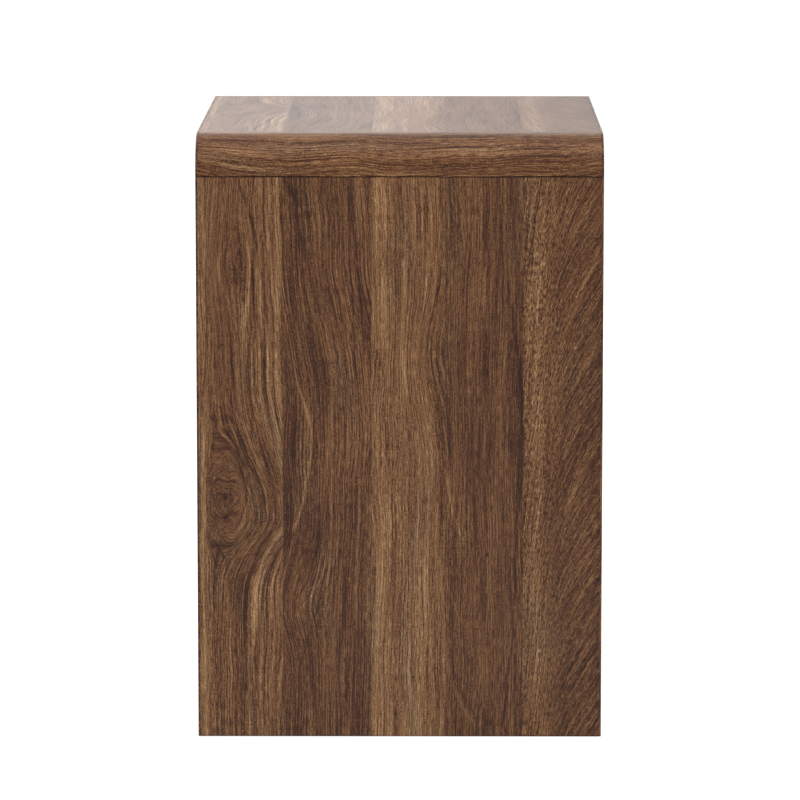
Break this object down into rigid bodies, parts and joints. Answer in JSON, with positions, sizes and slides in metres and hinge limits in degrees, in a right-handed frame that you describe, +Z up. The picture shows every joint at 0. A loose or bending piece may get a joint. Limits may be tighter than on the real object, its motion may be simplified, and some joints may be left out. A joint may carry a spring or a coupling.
{
  "type": "nightstand",
  "caption": "Walnut bedside cabinet with a thick rounded-over top and inset handleless drawers on ball-bearing runners.",
  "frame": {"origin": "on the floor under the middle of the cabinet", "axes": "+X to the right seen from the front, +Y to the back, +Z up; the drawers open towards -Y"},
  "size_m": [0.5, 0.4, 0.6],
  "materials": {
    "walnut_top": "satin lacquered walnut, plank grain running across the width",
    "walnut_lipping": "satin lacquered walnut, grain running front to back",
    "walnut_side": "satin lacquered walnut, plank grain running upright",
    "walnut_front": "satin lacquered walnut, upright grain",
    "walnut_inside": "satin lacquered walnut",
    "edge_band": "walnut edge band, satin",
    "drawer_box": "pale birch ply, clear lacquer",
    "back_board": "walnut-faced board, matt",
    "dowel_beech": "bare beech",
    "runner_steel": "zinc-plated sheet steel",
    "ball_cage": "plain steel strip",
    "ball_steel": "polished steel balls",
    "glide_plastic": "black plastic"
  },
  "bodies": {
    "carcass": {"top_core": "walnut_top", "top_lipping_left": "walnut_lipping", "top_lipping_right": "walnut_lipping", "top_band_front": "edge_band", "top_band_back": "edge_band", "side_panel_left": "walnut_side", "side_panel_right": "walnut_side", "side_bands_front": "edge_band", "side_bands_back": "edge_band", "bottom_panel": "walnut_inside", "bottom_band": "edge_band", "middle_rail": "walnut_inside", "upper_rail_front": "walnut_inside", "upper_rail_rear": "walnut_inside", "plinth": "walnut_inside", "back_panel": "back_board", "slab_dowels": "dowel_beech", "glides": "glide_plastic", "runner_outer_upper_left": "runner_steel", "runner_outer_upper_right": "runner_steel", "runner_outer_lower_left": "runner_steel", "runner_outer_lower_right": "runner_steel"},
    "drawer_upper": {"drawer_front_upper": "walnut_front", "drawer_side_upper_left": "drawer_box", "drawer_side_upper_right": "drawer_box", "drawer_box_front_upper": "drawer_box", "drawer_box_rear_upper": "drawer_box", "drawer_bottom_upper": "drawer_box", "runner_inner_upper_left": "runner_steel", "runner_inner_upper_right": "runner_steel"},
    "runner_middle_upper": {"runner_middle_upper_left": "runner_steel", "runner_middle_upper_right": "runner_steel"},
    "outer_cages_upper": {"outer_cage_upper_left": "ball_cage", "outer_cage_upper_right": "ball_cage", "outer_balls_upper": "ball_steel"},
    "inner_cages_upper": {"inner_cage_upper_left": "ball_cage", "inner_cage_upper_right": "ball_cage", "inner_balls_upper": "ball_steel"},
    "drawer_lower": {"drawer_front_lower": "walnut_front", "drawer_side_lower_left": "drawer_box", "drawer_side_lower_right": "drawer_box", "drawer_box_front_lower": "drawer_box", "drawer_box_rear_lower": "drawer_box", "drawer_bottom_lower": "drawer_box", "runner_inner_lower_left": "runner_steel", "runner_inner_lower_right": "runner_steel"},
    "runner_middle_lower": {"runner_middle_lower_left": "runner_steel", "runner_middle_lower_right": "runner_steel"},
    "outer_cages_lower": {"outer_cage_lower_left": "ball_cage", "outer_cage_lower_right": "ball_cage", "outer_balls_lower": "ball_steel"},
    "inner_cages_lower": {"inner_cage_lower_left": "ball_cage", "inner_cage_lower_right": "ball_cage", "inner_balls_lower": "ball_steel"}
  },
  "joints": [
    {"name": "drawer_upper_slide", "type": "slide", "parent": "carcass", "child": "drawer_upper", "axis": [0, -1, 0], "range_m": [0, 0.35]},
    {"name": "runner_middle_upper_slide", "type": "slide", "parent": "carcass", "child": "runner_middle_upper", "axis": [0, -1, 0], "range_m": [0, 0.175]},
    {"name": "outer_cages_upper_slide", "type": "slide", "parent": "carcass", "child": "outer_cages_upper", "axis": [0, -1, 0], "range_m": [0, 0.0875]},
    {"name": "inner_cages_upper_slide", "type": "slide", "parent": "carcass", "child": "inner_cages_upper", "axis": [0, -1, 0], "range_m": [0, 0.2625]},
    {"name": "drawer_lower_slide", "type": "slide", "parent": "carcass", "child": "drawer_lower", "axis": [0, -1, 0], "range_m": [0, 0.35]},
    {"name": "runner_middle_lower_slide", "type": "slide", "parent": "carcass", "child": "runner_middle_lower", "axis": [0, -1, 0], "range_m": [0, 0.175]},
    {"name": "outer_cages_lower_slide", "type": "slide", "parent": "carcass", "child": "outer_cages_lower", "axis": [0, -1, 0], "range_m": [0, 0.0875]},
    {"name": "inner_cages_lower_slide", "type": "slide", "parent": "carcass", "child": "inner_cages_lower", "axis": [0, -1, 0], "range_m": [0, 0.2625]}
  ],
  "couplings": [
    {"joint": "runner_middle_upper_slide", "follows": "drawer_upper_slide", "ratio": 0.5},
    {"joint": "outer_cages_upper_slide", "follows": "drawer_upper_slide", "ratio": 0.25},
    {"joint": "inner_cages_upper_slide", "follows": "drawer_upper_slide", "ratio": 0.75},
    {"joint": "runner_middle_lower_slide", "follows": "drawer_lower_slide", "ratio": 0.5},
    {"joint": "outer_cages_lower_slide", "follows": "drawer_lower_slide", "ratio": 0.25},
    {"joint": "inner_cages_lower_slide", "follows": "drawer_lower_slide", "ratio": 0.75}
  ]
}
